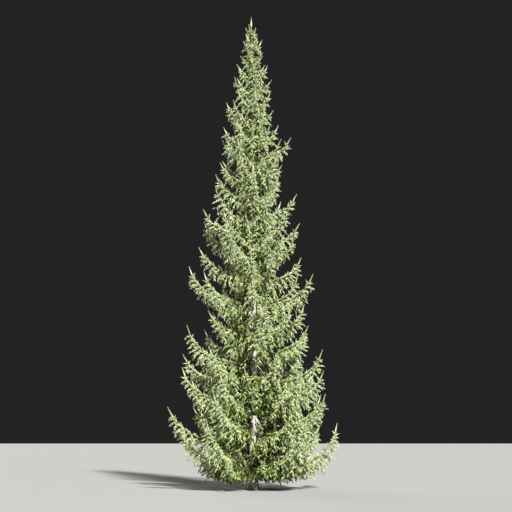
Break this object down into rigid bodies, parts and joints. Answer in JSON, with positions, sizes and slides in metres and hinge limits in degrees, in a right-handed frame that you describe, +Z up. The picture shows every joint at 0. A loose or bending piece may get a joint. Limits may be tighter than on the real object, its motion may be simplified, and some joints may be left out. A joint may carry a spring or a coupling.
{
  "type": "norway spruce tree",
  "caption": "Tall, narrow, cone-shaped conifer: straight tapering trunk cut flat at the ground, whorled boughs that sag and turn up at their tips, and hanging needle-clad twigs.",
  "frame": {"origin": "centre of the flat cut under the trunk, at ground level", "axes": "+Z up along the trunk, +X to the right in the picture, +Y away from its camera"},
  "size_m": [4.8624, 5.104, 13.5],
  "materials": {
    "trunk_bark": "rough, scaly grey-pink bark",
    "bough_bark": "rough grey-brown bark",
    "needles": "matt yellow-green needles"
  },
  "bodies": {
    "root": {"bough_01_1": "bough_bark", "bough_01_2": "bough_bark", "bough_01_3": "bough_bark", "bough_01_4": "bough_bark", "bough_02_1": "bough_bark", "bough_02_2": "bough_bark", "bough_02_3": "bough_bark", "bough_02_4": "bough_bark", "bough_03_1": "bough_bark", "bough_03_2": "bough_bark", "bough_03_3": "bough_bark", "bough_03_4": "bough_bark", "foliage_01_1": "needles", "foliage_01_2": "needles", "foliage_01_3": "needles", "foliage_01_4": "needles", "foliage_02_1": "needles", "foliage_02_2": "needles", "foliage_02_3": "needles", "foliage_02_4": "needles", "foliage_03_1": "needles", "foliage_03_2": "needles", "foliage_03_3": "needles", "foliage_03_4": "needles", "foliage_04_1": "needles", "foliage_04_2": "needles", "foliage_05_1": "needles", "foliage_05_2": "needles", "foliage_06_1": "needles", "foliage_06_2": "needles", "foliage_07_1": "needles", "foliage_07_2": "needles", "foliage_08_1": "needles", "foliage_08_2": "needles", "foliage_09_1": "needles", "foliage_09_2": "needles", "foliage_10_1": "needles", "foliage_10_2": "needles", "foliage_11_1": "needles", "foliage_11_2": "needles", "foliage_12_1": "needles", "foliage_12_2": "needles", "foliage_13_1": "needles", "foliage_13_2": "needles", "foliage_14_1": "needles", "foliage_14_2": "needles", "foliage_15_1": "needles", "foliage_15_2": "needles", "foliage_16_1": "needles", "foliage_16_2": "needles", "foliage_17_1": "needles", "foliage_17_2": "needles", "foliage_18_1": "needles", "foliage_18_2": "needles", "foliage_19_1": "needles", "foliage_19_2": "needles", "foliage_20_1": "needles", "foliage_20_2": "needles", "leader": "needles", "trunk": "trunk_bark"}
  },
  "joints": []
}
